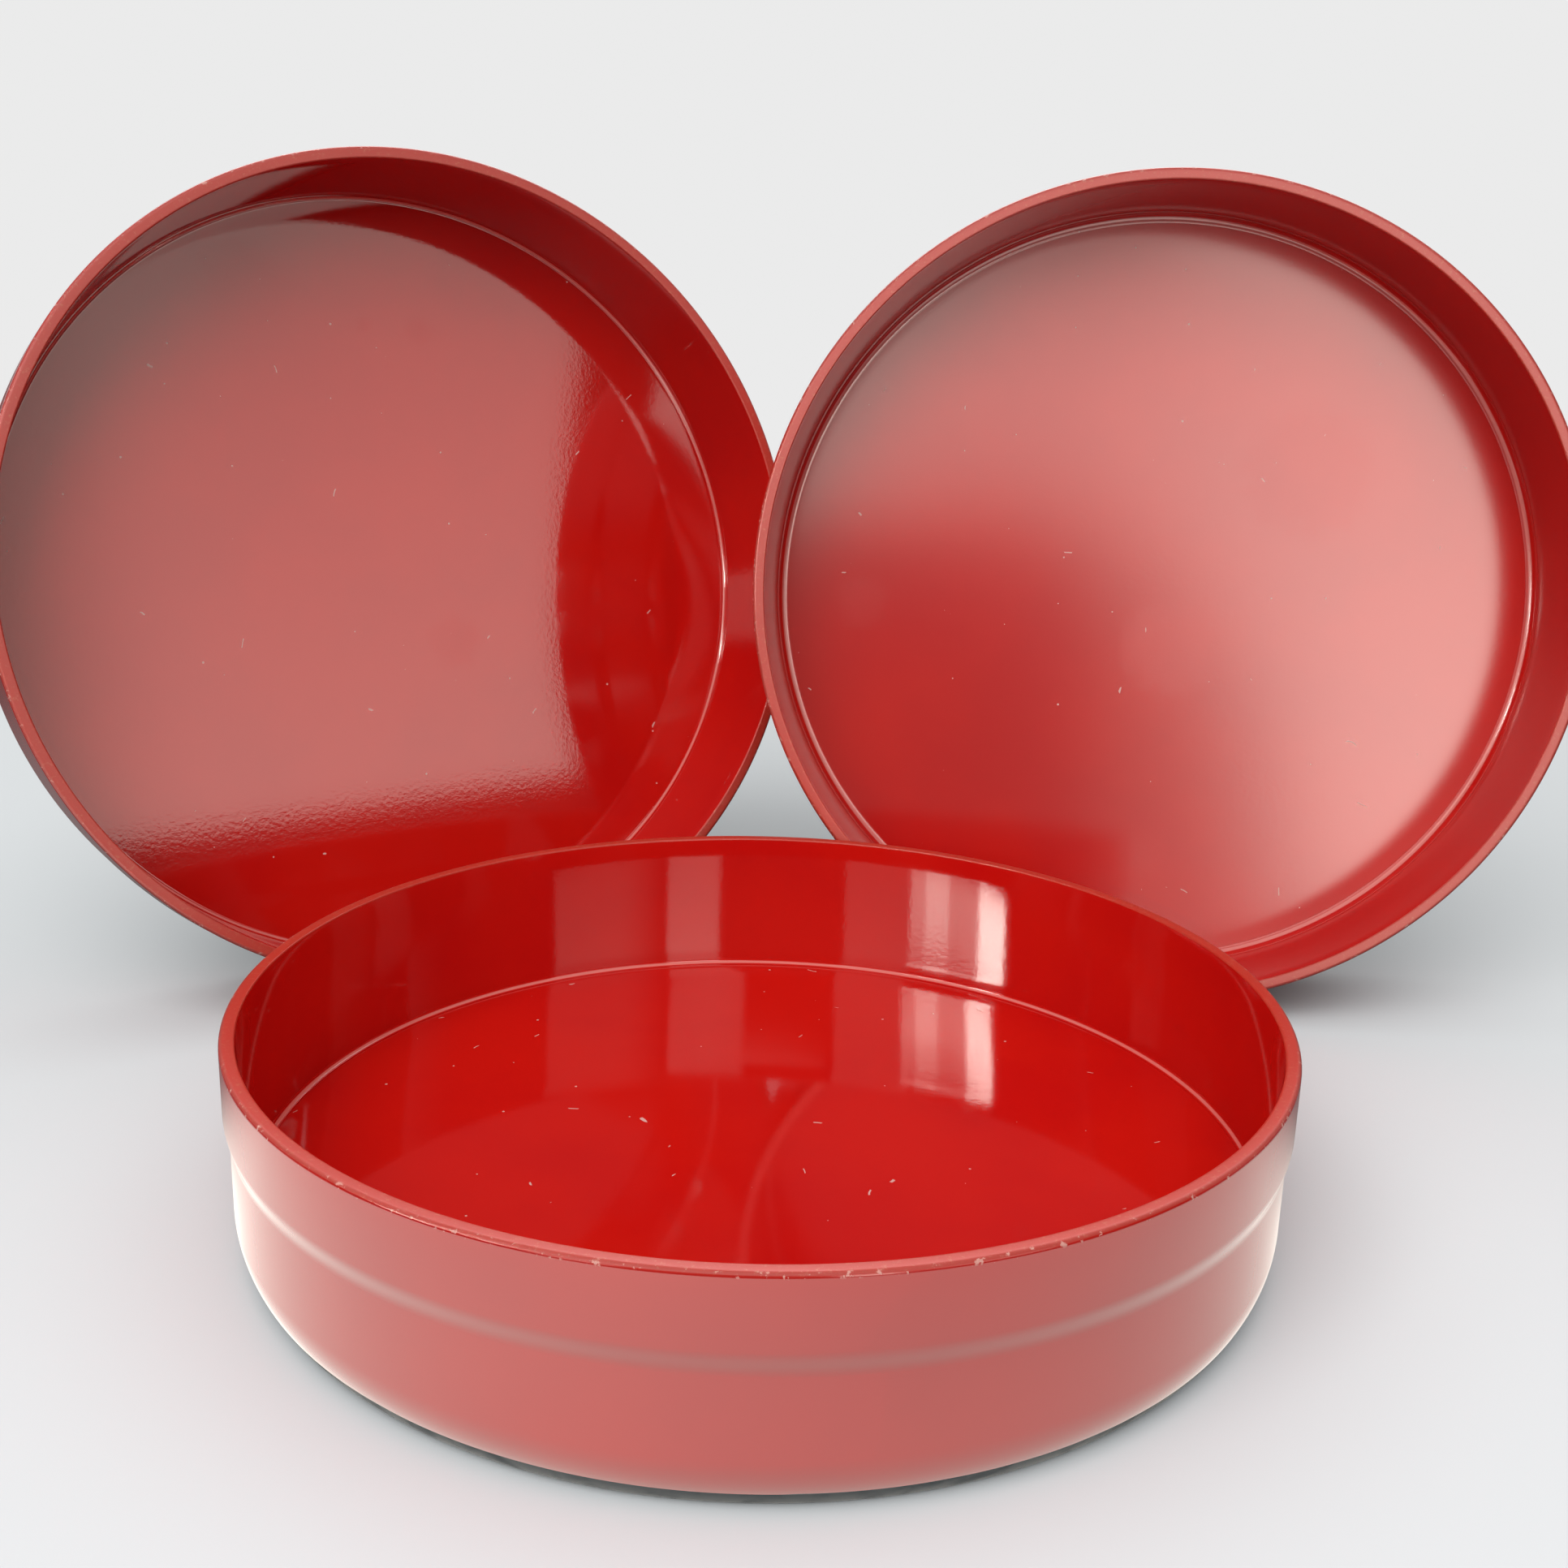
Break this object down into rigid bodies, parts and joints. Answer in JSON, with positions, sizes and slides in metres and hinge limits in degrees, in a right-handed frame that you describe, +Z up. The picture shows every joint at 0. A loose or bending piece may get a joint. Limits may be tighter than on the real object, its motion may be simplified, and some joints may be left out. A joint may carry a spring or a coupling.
{
  "type": "stacking lacquer box",
  "caption": "Round stacking box of red lacquered wood: equal open tiers with a stepped rim hoop and a black foot, one level and the others leaning behind it.",
  "frame": {"origin": "centre of the lower tier's foot, on the surface that all tiers stand on", "axes": "+Z up along the lower tier's axis and out of its mouth; +X to the viewer's right; +Y away from the viewer, towards the leaning tiers"},
  "size_m": [0.4617, 0.3546, 0.2438],
  "materials": {
    "red_lacquer": "high gloss lacquer",
    "rim_lacquer": "satin worn lacquer",
    "base_lacquer": "satin black lacquer"
  },
  "bodies": {
    "lower_tier": {"lower_base_board": "base_lacquer", "lower_floor_board": "red_lacquer", "lower_corner_bead": "red_lacquer", "lower_wall": "red_lacquer", "lower_rim_hoop": "rim_lacquer"},
    "middle_tier": {"middle_base_board": "base_lacquer", "middle_floor_board": "red_lacquer", "middle_corner_bead": "red_lacquer", "middle_wall": "red_lacquer", "middle_rim_hoop": "rim_lacquer"},
    "top_tier": {"top_base_board": "base_lacquer", "top_floor_board": "red_lacquer", "top_corner_bead": "red_lacquer", "top_wall": "red_lacquer", "top_rim_hoop": "rim_lacquer"}
  },
  "joints": [
    {"name": "middle_tier_lift", "type": "slide", "parent": "lower_tier", "child": "middle_tier", "axis": [-0.2588, 0, 0.9659], "range_m": [0, 0.26]},
    {"name": "top_tier_lift", "type": "slide", "parent": "lower_tier", "child": "top_tier", "axis": [0, 0, 1], "range_m": [0, 0.25]}
  ]
}
